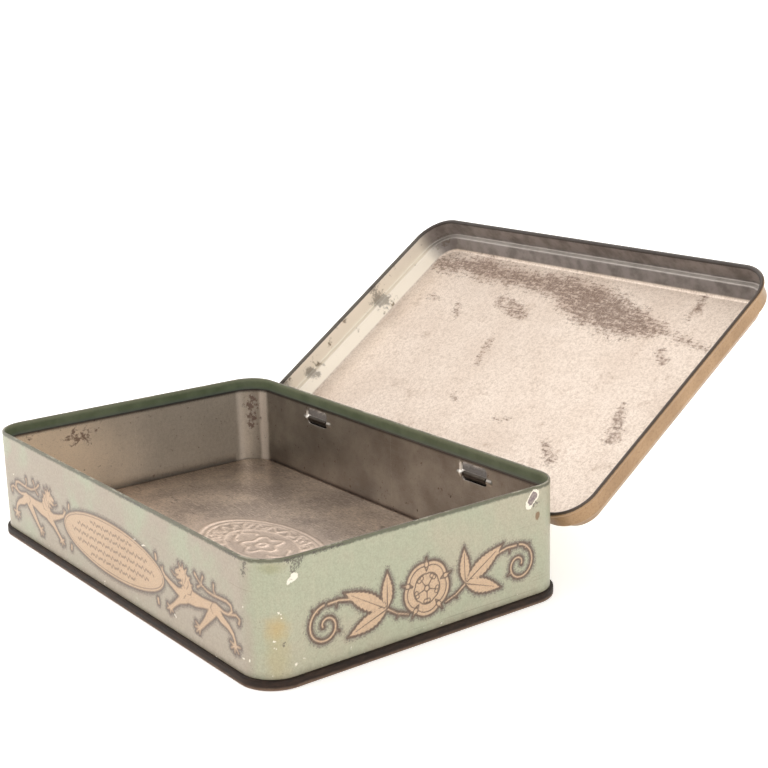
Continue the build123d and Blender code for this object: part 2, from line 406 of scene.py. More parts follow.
def lion(v, z):
    """Walking heraldic lion that faces the cartouche with one forepaw raised; v grows towards its tail."""
    trunk = stroke(
        v, z, (39.9, 14.2, 1.95), (44.2, 14.5, 1.95), (48.2, 14.9, 1.4), (51.4, 15.3, 1.25),
        (54.0, 15.1, 1.6),
    )
    neck = stroke(v, z, (42.0, 15.4, 1.7), (40.5, 17.6, 1.95), (38.7, 19.3, 1.85))
    arm = stroke(
        v, z, (28.2, 17.3, 0.5), (29.4, 16.1, 0.62), (32.2, 15.1, 0.8), (35.8, 14.1, 1.1),
        (39.0, 14.0, 1.7),
    )
    foreleg = stroke(v, z, (39.0, 13.2, 1.6), (36.2, 11.7, 1.0), (33.4, 9.7, 0.72), (31.6, 8.4, 0.8))
    thigh = stroke(
        v, z, (54.4, 15.2, 1.6), (56.6, 13.6, 1.25), (59.6, 12.6, 0.9), (61.5, 11.3, 0.68),
        (62.3, 9.9, 0.55), (62.4, 8.7, 0.8),
    )
    far_leg = stroke(v, z, (52.6, 14.0, 1.6), (51.0, 12.5, 1.4), (48.5, 10.0, 0.95), (46.3, 8.0, 0.75))
    tail = stroke(
        v, z, (55.4, 16.0, 0.6), (58.0, 15.6, 0.5), (60.0, 15.8, 0.5), (61.6, 17.0, 0.5), (61.2, 18.4, 0.5),
        (59.2, 18.9, 0.48), (55.7, 18.7, 0.45), (53.0, 18.5, 0.42), (50.3, 18.7, 0.42), (48.0, 19.4, 0.42),
        (46.2, 20.3, 0.38), (44.8, 21.4, 0.55),
    )
    sprigs = strokes(
        v, z,
        ((47.8, 19.4, 0.4), (47.9, 20.6, 0.36), (48.6, 21.7, 0.5)),
        ((54.4, 18.7, 0.4), (53.4, 19.9, 0.36), (53.6, 21.2, 0.5)),
        ((60.0, 15.8, 0.42), (63.4, 16.7, 0.46), (65.0, 16.1, 0.42), (64.5, 14.9, 0.5)),
        ((47.6, 19.3, 0.3), (45.8, 18.3, 0.45)),
    )
    head = strokes(
        v, z,
        ((38.2, 19.7, 1.6), (37.0, 19.4, 1.15), (35.5, 19.2, 0.72)),
        ((37.2, 18.3, 0.8), (35.6, 17.7, 0.42)),
        ((36.4, 18.3, 0.24), (34.4, 17.9, 0.26), (33.2, 18.6, 0.24)),
    )
    locks = strokes(
        v, z,
        ((37.8, 20.2, 0.7), (36.9, 21.9, 0.16)), ((38.8, 20.4, 0.7), (38.9, 22.2, 0.16)),
        ((39.7, 20.0, 0.8), (41.0, 21.5, 0.16)), ((40.8, 18.8, 0.8), (42.5, 19.7, 0.16)),
        ((41.5, 17.4, 0.8), (43.4, 17.9, 0.16)), ((38.4, 17.0, 0.7), (36.3, 16.5, 0.16)),
        ((38.9, 16.0, 0.7), (37.2, 15.2, 0.16)),
    )
    paws = np.minimum.reduce([
        toes(v, z, (28.3, 17.2), (27.5, 17.9), (28.5, 18.3)),
        toes(v, z, (31.4, 8.3), (29.9, 8.9), (29.7, 7.6), (31.2, 6.9), (32.6, 7.5)),
        toes(v, z, (62.2, 8.6), (60.2, 9.1), (60.4, 7.6), (62.0, 6.9), (63.7, 7.2), (64.6, 8.9)),
        toes(v, z, (46.0, 7.7), (44.0, 8.7), (43.5, 7.3), (44.1, 6.2), (45.6, 6.0)),
    ])
    body = melted(melted(trunk, neck, 0.8), melted(arm, foreleg, 0.6), 0.7)
    body = melted(body, melted(thigh, far_leg, 0.5), 0.6)
    fill = np.minimum.reduce([body, head, locks, tail, sprigs, paws])
    lines = strokes(
        v, z,
        ((39.9, 20.4, 0.12), (40.2, 18.8, 0.14), (39.4, 17.2, 0.1)),
        ((41.3, 18.4, 0.12), (41.2, 17.0, 0.14), (40.2, 15.9, 0.1)),
        ((38.6, 18.2, 0.12), (38.5, 17.0, 0.14), (39.4, 15.8, 0.1)),
        ((42.9, 16.4, 0.14), (42.2, 15.0, 0.14), (40.6, 14.8, 0.1)),
        ((52.6, 16.3, 0.1), (51.6, 14.9, 0.14), (52.6, 13.6, 0.12)),
        ((38.6, 13.0, 0.1), (39.7, 14.2, 0.13)),
        ((37.1, 19.9, 0.2), (37.5, 20.0, 0.2)),
        ((36.8, 18.8, 0.1), (35.6, 18.5, 0.14)),
    )
    return fill, lines


def lion_print(u, z):
    """Long wall print: an oval cartouche with two lions; its lettering is replaced by plain waves."""
    middle, half_length, half_height = 14.5, 28.9, 7.75
    x = u - PRINT_SHIFT
    v = np.abs(x)
    reach = (x / half_length) ** 2 + ((z - middle) / half_height) ** 2 - 1
    slope = 2 * np.sqrt(x ** 2 / half_length ** 4 + (z - middle) ** 2 / half_height ** 4) + 1e-3
    oval = reach / slope
    border = np.abs(oval + 0.85) - 0.13
    waves = np.full(u.shape, FAR)
    for row, extent in ((19.2, 12.0), (17.0, 20.0), (14.6, 23.5), (12.2, 20.5), (9.9, 13.0)):
        ripple = z - row - 0.55 * np.sin(2 * math.pi * x / 1.9) * np.cos(2 * math.pi * x / 9.1)
        waves = np.minimum(waves, np.maximum(np.abs(ripple) * 0.7 - 0.17, v - extent))
    studs = strokes(
        v, z, ((25.0, 20.6, 0.55), (25.2, 19.5, 0.62)), ((25.0, 8.6, 0.62), (25.2, 7.5, 0.55)),
    )
    beast, drawn = lion(v, z)
    lines = np.where(oval < 0, np.minimum(border, waves), np.where(beast < 0, drawn, FAR))
    return np.minimum.reduce([oval, beast, studs]), lines


def wall_print(s, z):
    """Fill and line distances on the outer face: lions on the long walls, roses on the short ones."""
    side = 2 * np.round(s / (2 * QUARTER))
    past = np.abs(s - side * QUARTER) > HALF_LENGTH - CORNER + QUARTER_ARC / 2
    side = np.where(past, side + np.sign(s - side * QUARTER), side)
    u = s - side * QUARTER
    fill, lines = np.full(s.shape, FAR), np.full(s.shape, FAR)
    for odd, motif in ((0, lion_print), (1, rose_print)):
        here = (side % 2 == odd) & (z > PRINT_LOW - 0.1) & (z < PRINT_HIGH + 0.1)
        fill[here], lines[here] = motif(u[here], z[here])
    return np.minimum(fill, FAR), np.minimum(lines, FAR)


def wall_wear(s, z, outside):
    """Distances to the flaked spots, the bare ones and the dark scuffs of the outer face."""
    right = QUARTER
    flakes = strokes(
        s, z,
        ((79.0, 26.1, 0.5), (80.9, 27.3, 1.1)), ((right + 34.7, 27.9, 1.3), (right + 36.6, 30.1, 1.6)),
        ((76.3, 19.2, 0.2), (77.0, 18.7, 0.25)), ((77.0, 17.7, 0.2), (77.2, 17.5, 0.2)),
        ((75.0, 12.1, 0.25), (75.5, 11.9, 0.2)), ((75.3, 10.5, 0.25), (75.5, 10.2, 0.2)),
        ((80.0, 4.6, 0.15), (80.3, 5.6, 0.25)), ((66.0, 6.7, 0.12), (66.9, 6.7, 0.12)),
        ((68.7, 6.9, 0.25), (68.8, 6.4, 0.2)), ((73.8, 4.1, 0.12), (74.2, 3.7, 0.16)),
        ((75.0, 3.2, 0.16), (75.4, 3.1, 0.2)), ((82.0, 6.3, 0.1), (82.8, 6.3, 0.14)),
        ((67.2, 19.8, 0.25), (67.4, 19.7, 0.2)), ((right - 22.5, 5.1, 0.2), (right - 22.2, 4.5, 0.2)),
        ((right - 28.9, 5.0, 0.1), (right - 28.4, 5.1, 0.15)), ((14.0, 21.2, 0.2), (15.2, 21.6, 0.2)),
        ((19.0, 21.0, 0.2), (20.6, 21.4, 0.2)), ((34.2, 7.0, 0.2), (34.8, 6.6, 0.2)),
        ((69.5, 32.0, 0.1), (70.8, 31.9, 0.2)), ((-62.0, 20.4, 0.15), (-61.4, 20.6, 0.15)),
    )
    bare = strokes(
        s, z, ((right + 35.1, 28.4, 0.9), (right + 36.4, 29.9, 1.1)), ((79.6, 26.5, 0.2), (80.2, 26.9, 0.3)),
    )
    scuffs = strokes(
        s, z,
        ((78.6, 31.7, 0.6), (82.8, 31.2, 0.6)), ((80.6, 28.6, 0.7), (81.3, 30.4, 1.0)),
        ((68.1, 28.0, 0.3), (68.3, 30.6, 0.5)), ((77.3, 11.2, 0.2), (77.4, 11.1, 0.2)),
        ((right + 34.6, 27.2, 0.3), (right + 37.4, 27.6, 0.3)), ((59.0, 31.8, 0.3), (66.0, 31.8, 0.4)),
        ((right - 33.0, 31.7, 0.2), (right - 24.0, 31.8, 0.4)), ((8.0, 31.9, 0.2), (20.0, 31.9, 0.4)),
    )
    found = {"flakes": flakes, "bare": bare, "scuffs": scuffs}
    return {name: np.where(outside, np.minimum(distance, FAR), FAR) for name, distance in found.items()}


# ------------------------------------------------------------------ body wall
# finish of the outer face, rim, hem, under the hem, inner face and foot: print, the print's green darkened as
# painted shade, or bare tin
WALL_ZONES = (0, 1, 1, 2, 2, 2)
OUTER_ZONE, INNER_ZONE = 0, 4
PLAIN_STEP = 8  # an inner face without slots needs only every eighth row of the outer one


def side_stops(side, half_print):
    """Distances across one side from its left end to its right end, fine where it is printed."""
    straight = (HALF_WIDTH if side % 2 else HALF_LENGTH) - CORNER
    edge = min(half_print, straight)
    return side * QUARTER + spaced(
        -straight, (-edge + 1e-3, 1), (edge, steps(2 * edge, FINE)), (straight + 1e-3, 1)
    )


def corner_stops(side):
    """Distances round the corner that follows a side, without its two ends."""
    straight = (HALF_WIDTH if side % 2 else HALF_LENGTH) - CORNER
    start = side * QUARTER + straight
    return np.linspace(start, start + QUARTER_ARC, CORNER_STEPS + 1)[1:-1]


def wall_section(fine_top, inner_step):
    """The wall's section as (n, z) rows, and how many rows there are up to each stretch's end.

    It runs up the outer face, over the folded rim, down the hem, in under it, and down
    the inner face. The inner face repeats every inner_step-th outer row below the hem.
    """
    half = WALL_SHEET
    outer = spaced(WALL_FOOT, (PRINT_LOW, 3), (fine_top, steps(fine_top - PRINT_LOW, FINE)), (RIM - half, 8))
    rim = arc((-half, RIM - half), half, 0, 180, 8)[1:-1]
    hem_foot, hem_bend, hem_gap = RIM - HEM_DEPTH, 0.15, 0.25
    hem = spaced(RIM - half, (hem_foot + hem_bend, 5))
    inner = outer[outer < hem_foot - hem_gap][::-inner_step]
    inner[-1] = outer[0]
    rows = np.concatenate([
        np.stack([np.zeros(len(outer)), outer], 1), rim,
        np.stack([np.full(len(hem), -2 * half), hem], 1),
        [(-1.8 * half, hem_foot), (-half, hem_foot)],
        np.stack([np.full(len(inner), -half), inner], 1),
    ])
    ends = np.cumsum([len(outer), len(rim), len(hem), 2, len(inner)])
    return rows, ends


def loop_bulge(s, z):
    """How far the pressed pin loops stand out of the back wall: a round bar along the hinge axis."""
    x = np.abs(np.abs(s - 2 * QUARTER) - HINGE_X)
    past = np.clip((x - SLOT_HALF - LOOP_LENGTH + LOOP_END) / LOOP_END, 0, 1)
    shape = np.sqrt(np.maximum(LOOP_RADIUS ** 2 - (z - AXIS_Z) ** 2, 0)) * np.sqrt(1 - past ** 2)
    return np.where(x > SLOT_HALF - TOUCHING, shape, 0)


def slot_outline(x, z):
    """Nearest point of the slot's rounded outline to points round it."""
    core_x = np.clip(x, -SLOT_HALF + SLOT_CORNER, SLOT_HALF - SLOT_CORNER)
    core_z = np.clip(z, SLOT_LOW + SLOT_CORNER, SLOT_HIGH - SLOT_CORNER)
    size = np.hypot(x - core_x, z - core_z)
    return core_x + (x - core_x) / size * SLOT_CORNER, core_z + (z - core_z) / size * SLOT_CORNER


def body_wall_piece(name, stops, fine_top, with_slots, finishes):
    """Part of the wall between the first and last stop, closed at both ends."""
    section, ends = wall_section(fine_top, 1 if with_slots else PLAIN_STEP)
    s, rows = np.meshgrid(stops, np.arange(len(section)), indexing="xy")
    n, z = section[rows, 0], section[rows, 1]
    grid = np.arange(s.size).reshape(s.shape)
    coordinates = [s.ravel(), n.ravel(), z.ravel()]
    zone = np.searchsorted(ends, np.arange(len(section) - 1), side="right")
    closed = np.concatenate([grid, grid[:1]])
    faces = strip_faces(closed)
    row_of_face = np.repeat(np.arange(len(section)), len(stops) - 1)
    marks = np.append(zone, INNER_ZONE)[row_of_face]
    if with_slots:
        faces, marks, coordinates = cut_slots(grid, section, stops, ends, faces, marks, coordinates)
    s, n, z = coordinates
    if with_slots:
        bulge = loop_bulge(s, z)
        middle, outer_face = LOOP_SHEET / 2, n > -WALL_SHEET / 2
        pressed = np.where(outer_face, np.maximum(n, middle + bulge), np.minimum(n, middle - bulge))
        n = np.where(bulge > 0, pressed, n)
    place = around(s)
    points = np.stack([place[:, 0] + n * place[:, 2], place[:, 1] + n * place[:, 3], z], 1)
    outside = n > -1e-6
    fill, lines = wall_print(s, z)
    quarter = np.floor(s / QUARTER)
    half_side = np.where(quarter % 2 == 1, HALF_WIDTH, HALF_LENGTH) - CORNER
    attributes = {
        "print_fill": np.where(outside, fill, FAR), "print_line": np.where(outside, lines, FAR),
        "bend": np.clip((s - quarter * QUARTER - half_side) / QUARTER_ARC, -1, 2),
        **wall_wear(s, z, outside),
    }
    piece = make_piece(name, points, faces, np.array(WALL_ZONES)[marks], finishes, attributes)
    close_ends(piece)
    return piece


def cut_slots(grid, section, stops, ends, faces, marks, coordinates):
    """Cuts the two hinge slots out of both faces of the wall.

    A rectangle of the grid round each slot is removed. Rings of vertices then close in
    from its edge to the slot's outline on the outer face, pass through the sheet and
    open out again to the same rectangle of the inner face.
    """
    margin = 0.9
    closing = np.array([0.35, 0.7, 0.93, 1.0])
    row_of_face = np.repeat(np.arange(len(section)), len(stops) - 1)
    column_of_face = np.tile(np.arange(len(stops) - 1), len(section))
    outer_z = section[: ends[0], 1]
    low, high = np.searchsorted(outer_z, (SLOT_LOW - margin, SLOT_HIGH + margin * 0.4))
    inner_z = section[ends[3]:, 1]
    inner_rows = np.array([ends[3] + np.argmin(np.abs(inner_z - z)) for z in outer_z[low:high + 1]])
    for side in (-1, 1):
        centre = 2 * QUARTER + side * HINGE_X
        left, right = np.searchsorted(stops, (centre - SLOT_HALF - margin, centre + SLOT_HALF + margin))
        inside = (column_of_face >= left) & (column_of_face < right)
        on_outer = (row_of_face >= low) & (row_of_face < high)
        on_inner = (row_of_face >= inner_rows.min()) & (row_of_face < inner_rows.max())
        kept = ~(inside & (on_outer | on_inner))
        loop = boundary(grid[low:high + 1, left:right + 1].T)
        twin = boundary(grid[inner_rows][:, left:right + 1].T)
        x, z = coordinates[0][loop] - centre, coordinates[2][loop]
        edge_x, edge_z = slot_outline(x, z)
        rings_x = x + (edge_x - x) * closing[:, None]
        rings_z = z + (edge_z - z) * closing[:, None]
        start = len(coordinates[0])
        fresh = start + np.arange(2 * rings_x.size).reshape(2 * len(closing), -1)
        deep = np.repeat([0.0, -WALL_SHEET], rings_x.size)
        new = [np.concatenate([rings_x, rings_x[::-1]]).ravel() + centre, deep,
               np.concatenate([rings_z, rings_z[::-1]]).ravel()]
        coordinates = [np.concatenate(pair) for pair in zip(coordinates, new)]
        patch = strip_faces(np.concatenate([loop[None], fresh, twin[None]]), across_closed=True)
        ring_of_face = np.arange(len(patch)) // len(loop)
        faces = np.concatenate([faces[kept], patch])
        marks = np.concatenate([marks[kept], np.where(ring_of_face < len(closing), OUTER_ZONE, INNER_ZONE)])
        row_of_face = np.concatenate([row_of_face[kept], np.full(len(patch), -1)])
        column_of_face = np.concatenate([column_of_face[kept], np.full(len(patch), -1)])
    return faces, marks, coordinates


def close_ends(piece):
    """Fills the open ends of a sheet with one flat face each."""
    shell = bmesh.new()
    shell.from_mesh(piece.data)
    rims = [edge for edge in shell.edges if edge.is_boundary]
    bmesh.ops.holes_fill(shell, edges=rims, sides=0)
    for edge in rims:
        edge.smooth = False
    shell.to_mesh(piece.data)
    shell.free()


def make_body_wall(finishes):
    """The wall as two pieces that meet beside the back corners, where nothing is printed."""
    past_print = 0.9
    join = QUARTER + SHORT_PRINT + past_print
    sides = {side: side_stops(side, SHORT_PRINT if side % 2 else LONG_PRINT) for side in (-1, 0, 1, 2)}
    sides[3] = side_stops(3, SHORT_PRINT)
    front = np.concatenate([sides[-1], corner_stops(-1), sides[0], corner_stops(0), sides[1]])
    front = np.concatenate([[-join], front[(front > -join + TOUCHING) & (front < join - TOUCHING)], [join]])
    back = np.concatenate([sides[1], corner_stops(1), sides[2], corner_stops(2), sides[3]])
    far_join = 4 * QUARTER - join
    back = np.concatenate([[join], back[(back > join + TOUCHING) & (back < far_join - TOUCHING)], [far_join]])
    return (
        body_wall_piece("wall_front_and_sides", front, PRINT_HIGH, False, finishes),
        body_wall_piece("wall_back", back, SLOT_HIGH + past_print, True, finishes),
    )


# ------------------------------------------------------------------ base and lid
def floor_ornament(x, y):
    """Raised pattern in the middle of the floor: two oval rings, a ring of leaves and a rosette."""
    half_length, half_width = 25.0, 14.5
    oval = np.sqrt((x / half_length) ** 2 + (y / half_width) ** 2) + 1e-6
    turn = np.arctan2(y / half_width, x / half_length)

    def ridge(distance, width):
        return np.exp(-(distance / width) ** 2)

    def ring(place, width):
        return ridge((oval - place) * half_width, width)

    rings = ring(1, 0.5) + ring(0.9, 0.35) + 0.8 * ring(0.6, 0.45)
    leaves = ring(0.75 + 0.09 * np.sin(22 * turn), 0.5) + ring(0.75 - 0.07 * np.sin(17 * turn), 0.4)
    radius = np.hypot(x, y)
    petal = ridge(radius - 5.2 - 1.1 * np.cos(5 * np.arctan2(y, x)), 0.6) + ridge(radius - 1.5, 0.6)
    sprig = ridge(np.abs(y) - 2.2 - 1.4 * np.sin(np.abs(x) * 0.9), 0.5) * (np.abs(x) > 7.5) * (oval < 0.56)
    return 0.32 * np.clip(rings + leaves + petal + sprig, 0, 1)


def sway(x, y):
    """Slow unevenness of a flat panel, fading to nothing at its edge."""
    fade = np.clip((1 - (x / HALF_LENGTH) ** 2) * (1 - (y / HALF_WIDTH) ** 2) * 3, 0, 1)
    waves = np.sin(x / 11 + 0.7) * np.sin(y / 9 - 0.4) + 0.6 * np.sin(x / 23 - y / 17 + 1.1)
    return 0.07 * fade * waves


def make_base_panel(finishes):
    """Sunk floor whose edge bends down inside the wall and is rolled round it as the seam."""
    half = BASE_SHEET / 2
    upright = -WALL_SHEET - half
    reach = -WALL_SHEET - BASE_SHEET - 2 * FLOOR_BEND
    centre_line = [(reach, FLOOR - half), (upright, FLOOR - half), (upright, SEAM_HEIGHT / 2)]
    upper = bent_face(centre_line, [FLOOR_BEND], half)[1:-1]
    lower = bent_face(centre_line, [FLOOR_BEND], -half)[1:-1]
    edge_n, edge_z = SEAM_REACH - SEAM_EDGE, SEAM_HEIGHT - SEAM_EDGE
    section = np.concatenate([
        upper, [(upright + half, SEAM_HEIGHT), (0.05, SEAM_HEIGHT), (edge_n - SUPPORT, SEAM_HEIGHT)],
        arc((edge_n, edge_z), SEAM_EDGE, 90, 0, 5),
        [(SEAM_REACH, edge_z - SUPPORT), (SEAM_REACH, SEAM_EDGE + SUPPORT)],
        arc((edge_n, SEAM_EDGE), SEAM_EDGE, 0, -90, 5), [(edge_n - SUPPORT, 0), (upright, 0)],
        [(upright - half, 0.15), (upright - half, SEAM_HEIGHT / 2)], lower[::-1],
    ])
    ornament_x, ornament_y = 28, 17
    fine_x, fine_y = ornament_x / (HALF_LENGTH + reach), ornament_y / (HALF_WIDTH + reach)
    turn_x, turn_y = corner_starts(reach)
    xs = spaced(-1, (-turn_x, 9), (-fine_x, 14), (fine_x, 112), (turn_x, 14), (1, 9))
    ys = spaced(-1, (-turn_y, 9), (-fine_y, 9), (fine_y, 68), (turn_y, 9), (1, 9))

    dip, dip_edge, just_under = 0.13, 3, 0.001

    def top(x, y):
        inside = np.maximum(np.abs(x) - HALF_LENGTH, np.abs(y) - HALF_WIDTH) - reach + dip_edge
        sunk = dip * (1 - np.clip(inside / dip_edge, 0, 1))
        return FLOOR - just_under + sway(x, y) * 0.8 - sunk + floor_ornament(x, y) * 0.55

    points, faces, rows = make_pan(xs, ys, reach, top, section, lambda x, y: top(x, y) - BASE_SHEET)
    raised = {"raised": floor_ornament(points[:, 0], points[:, 1])}
    first_seam = len(upper) + 1
    last_seam = len(section) - len(lower) - 2
    marks = np.where((rows >= first_seam) & (rows <= last_seam), 1, 0)
    marks = np.where((rows == -2) | (rows > last_seam), 2, marks)
    return make_piece("base_with_floor", points, faces, marks, finishes, raised)


def lid_stain(x, y):
    """Strength of the dark stain on the lid's inner face, from strokes with soft edges."""
    band = stroke(
        x, y, (-70, -37, 3), (-50, -39, 4.5), (-26, -37, 3.5), (-6, -37, 5), (12, -32, 8), (30, -28, 6.5),
        (44, -27, 1.5),
    )
    trail = stroke(x, y, (40, -30, 1.5), (52, -26, 1.5), (64, -24, 1))
    spots = strokes(
        x, y,
        ((50, -43, 1.5), (50, -34, 1)), ((-17, -10, 1), (-14, 1, 1)),
        ((52, 2, 0.8), (57, 13, 3)), ((36, 22, 1), (44, 27, 2)),
        ((50, -20, 1.5), (54, -16, 1)), ((-44, -20, 1), (-40, -16, 1)),
        ((-60, -22, 1), (-56, -21, 1)), ((12, 19, 0.4), (17, 18, 0.4)),
        ((-12, 15, 0.2), (-8, 17, 0.5)), ((-26, -26, 3), (-12, -22, 2)),
    )
    deep = np.clip(0.5 - band / 7, 0, 1)
    light = np.clip(0.45 - np.minimum(trail, spots) / 4, 0, 0.62)
    return np.maximum(deep, light)


def make_lid(finishes):
    """Skirt with a rolled mouth, ledge, sloped shoulder and panel, made shut and turned open."""
    half = LID_SHEET / 2
    skirt = SKIRT_GAP + half
    reach = SHOULDER_REACH - 4 * SHOULDER_BEND
    centre_line = [
        (reach, PANEL + half), (SHOULDER_REACH, PANEL + half), (LEDGE_REACH, LEDGE + half),
        (skirt, LEDGE + half), (skirt, MOUTH + CURL),
    ]
    bends = [SHOULDER_BEND, LEDGE_BEND, LEDGE_BEND]
    outer = bent_face(centre_line, bends, half)[1:]
    inner = bent_face(centre_line, bends, -half)[1:-1]
    meeting = math.degrees(math.acos((half - CURL + half) / CURL))
    curl = arc((SKIRT_GAP + CURL, MOUTH + CURL), CURL, meeting, -180, 20)
    outer[-1] = (skirt + half, curl[0][1] + SUPPORT)
    section = np.concatenate([outer, curl, inner[::-1]])
    turn_x, turn_y = corner_starts(reach)
    xs = spaced(-1, (-turn_x, 8), (-0.2, 48), (0.2, 72), (turn_x, 48), (1, 8))
    ys = spaced(-1, (-turn_y, 8), (-0.3, 26), (0.3, 60), (turn_y, 26), (1, 8))
    points, faces, rows = make_pan(
        xs, ys, reach, lambda x, y: PANEL + LID_SHEET + sway(x, y), section, lambda x, y: PANEL + sway(x, y)
    )
    x, y, z = points.T
    fill, lines = lid_print(x, y)
    on_top = z > PANEL + half
    attributes = {
        "print_fill": np.where(on_top, fill, FAR), "print_line": np.where(on_top, lines, FAR),
        "stain": lid_stain(x, y), "shut_x": x, "shut_y": y, "shut_z": z,
    }
    printed_rows, curl_rows = 4, 14  # edge rows still printed, and rows of the curl still lacquered
    printed = (rows == -1) | (rows >= 0) & (rows < printed_rows)
    bare = (rows == -2) | (rows > len(outer) + curl_rows)
    marks = np.where(printed, 0, np.where(bare, 2, 1))
    return make_piece("lid_pressing", turned_open(points), faces, marks, finishes, attributes)


def lid_print(x, y):
    """Print on top of the lid: two border lines and a rose between two pairs of leaves."""
    fill, lines = rose(x, y, (0, 0), 10.5)
    for side in (-1, 1):
        for tip, width in (((27.0 * side, 7.5), 2.9), ((27.0 * side, -7.5), 2.9), ((29.5 * side, 0.0), 2.7)):
            blade, vein = leaf(x, y, (12.2 * side, 0), tip, width, 12)
            lines = np.where(blade < 0, vein, lines)
            fill = np.minimum(fill, blade)
    inset, turn = 14, 4
    past_x, past_y = np.abs(x) - HALF_LENGTH + inset, np.abs(y) - HALF_WIDTH + inset
    corner = np.hypot(np.maximum(past_x + turn, 0), np.maximum(past_y + turn, 0)) - turn
    inside = np.maximum(past_x, past_y)
    frame_line = np.where(inside > -turn, corner, inside)
    fill = np.minimum.reduce([fill, np.abs(frame_line) - 0.9, np.abs(frame_line + 2.6) - 0.35])
    return np.minimum(fill, FAR), np.minimum(lines, FAR)


# ------------------------------------------------------------------ shader maths
class Value:
    """A number or colour that changes over a surface; an expression on values adds Math nodes."""

    def __init__(self, finish, socket):
        self.finish = finish
        self.socket = socket

    def maths(self, operation, first, second):
        return self.finish.node("ShaderNodeMath", {"operation": operation}, {0: first, 1: second})

    def __add__(self, other):
        return self.maths("ADD", self, other)

    def __sub__(self, other):
        return self.maths("SUBTRACT", self, other)

    def __rsub__(self, other):
        return self.maths("SUBTRACT", other, self)

    def __mul__(self, other):
        return self.maths("MULTIPLY", self, other)

    def __abs__(self):
        return self.maths("ABSOLUTE", self, 0)

    def __or__(self, other):
        return self.maths("MAXIMUM", self, other)

    def __and__(self, other):
        return self.maths("MINIMUM", self, other)

    __radd__ = __add__
    __rmul__ = __mul__


class Finish:
    """One material: its node tree, the object's coordinates in millimetres, and its shader."""

    def __init__(self, name, **shader):
        self.material = bpy.data.materials.new(name)
        self.material.use_nodes = True
        self.nodes = self.material.node_tree.nodes
        self.links = self.material.node_tree.links
        self.shader = self.nodes["Principled BSDF"]
        self.place = self.node("ShaderNodeTexCoord", {}, {}, "Object")
        self.place = self.vector("SCALE", {0: self.place, "Scale": 1 / METRES})
        for socket, value in shader.items():
            self.shader.inputs[socket.replace("_", " ")].default_value = value

    def node(self, kind, settings, sockets, output=0):
        """Adds a node: its settings first, then the values or links of its sockets."""
        node = self.nodes.new(kind)
        for key, value in settings.items():
            setattr(node, key, value)
        for socket, value in sockets.items():
            if isinstance(value, Value):
                self.links.new(value.socket, node.inputs[socket])
            else:
                node.inputs[socket].default_value = value
        return Value(self, node.outputs[output])

    def vector(self, operation, sockets, output=0):
        return self.node("ShaderNodeVectorMath", {"operation": operation}, sockets, output)

    def set(self, **sockets):
        for socket, value in sockets.items():
            self.links.new(value.socket, self.shader.inputs[socket.replace("_", " ")])

    def noise(self, size, detail=3.0, roughness=0.55, stretch=(1, 1, 1), place=None):
        """Cloudy pattern from 0 to 1 whose patches are about size across."""
        place = self.vector("DIVIDE", {0: place or self.place, 1: stretch})
        sockets = {"Vector": place, "Scale": 1 / size, "Detail": detail, "Roughness": roughness}
        return self.node("ShaderNodeTexNoise", {}, sockets)

    def over(self, value, low, high):
        """0 below low and 1 above high, smooth between; low may be the higher of the two."""
        sockets = {"Value": value, "From Min": low, "From Max": high}
        return self.node("ShaderNodeMapRange", {"interpolation_type": "SMOOTHSTEP"}, sockets)

    def mix(self, factor, first, second):
        return self.node("ShaderNodeMix", {"data_type": "RGBA"}, {0: factor, 6: first, 7: second}, 2)

    def ground(self, amount, first, second):
        """Starts the colour as a mix of two paints, each of three screen values."""
        self.colour = self.mix(amount, paint(*first), paint(*second))

    def lay(self, amount, *coat):
        """Covers the colour so far, by amount, with another colour: a Value, or three screen values."""
        self.colour = self.mix(amount, self.colour, coat[0] if len(coat) == 1 else paint(*coat))

    def attribute(self, name):
        return self.node("ShaderNodeAttribute", {"attribute_name": name}, {}, "Fac")

    def axis(self, name):
        return self.node("ShaderNodeSeparateXYZ", {}, {0: self.place}, name)

    def distance(self, centre, stretch=(1, 1, 1), place=None):
        """Distance from a point, with each axis divided by its stretch."""
        offset = self.vector("SUBTRACT", {0: place or self.place, 1: centre})
        offset = self.vector("DIVIDE", {0: offset, 1: stretch})
        return self.vector("LENGTH", {0: offset}, "Value")

    def finished(self, height, depth, strength):
        """Sets the colour, and the normal from a height of at most depth millimetres."""
        sockets = {"Height": height, "Distance": depth * METRES, "Strength": strength}
        self.set(Base_Color=self.colour, Normal=self.node("ShaderNodeBump", {}, sockets))
        return self.material


def paint(red, green, hem_edge_highlight):
    """Linear colour from screen values of 0 to 255."""
    return (*[((c / 255 + 0.055) / 1.055) ** 2.4 if c > 10 else c / 3294.6 for c in (red, green, hem_edge_highlight)], 1.0)


# ------------------------------------------------------------------ finishes
def printed_motifs(finish, gold, ink, halo, strength):
    """Lays the gold print with its ink outline and stippled halo over the colour so far."""
    fill = finish.attribute("print_fill")
    lines = finish.attribute("print_line")
    ragged = finish.noise(0.45, 2.0) - 0.5
    grain = finish.noise(0.34, 1.0)
    shade = finish.over(fill + ragged * 0.6, 1.5, 0.0)
    finish.lay(shade * 0.5, *halo)
    stipple = finish.over(grain + shade * 0.3, 0.6, 0.7) * finish.over(fill, 2.2, 1.2)
    finish.lay(stipple * 0.6, *halo)
    worn = finish.over(grain + finish.noise(5.0) * 0.3, 0.62, 0.74) * 0.25
    printed = finish.over(fill + ragged * 0.1, 0.04, -0.04)
    finish.lay(printed, finish.mix(worn, paint(*gold), finish.colour))
    outline = finish.over(abs(fill + ragged * 0.12), 0.4, 0.17)
    drawn = finish.over(lines + ragged * 0.1, 0.14, -0.04)
    finish.lay((outline | drawn) * strength, *ink)


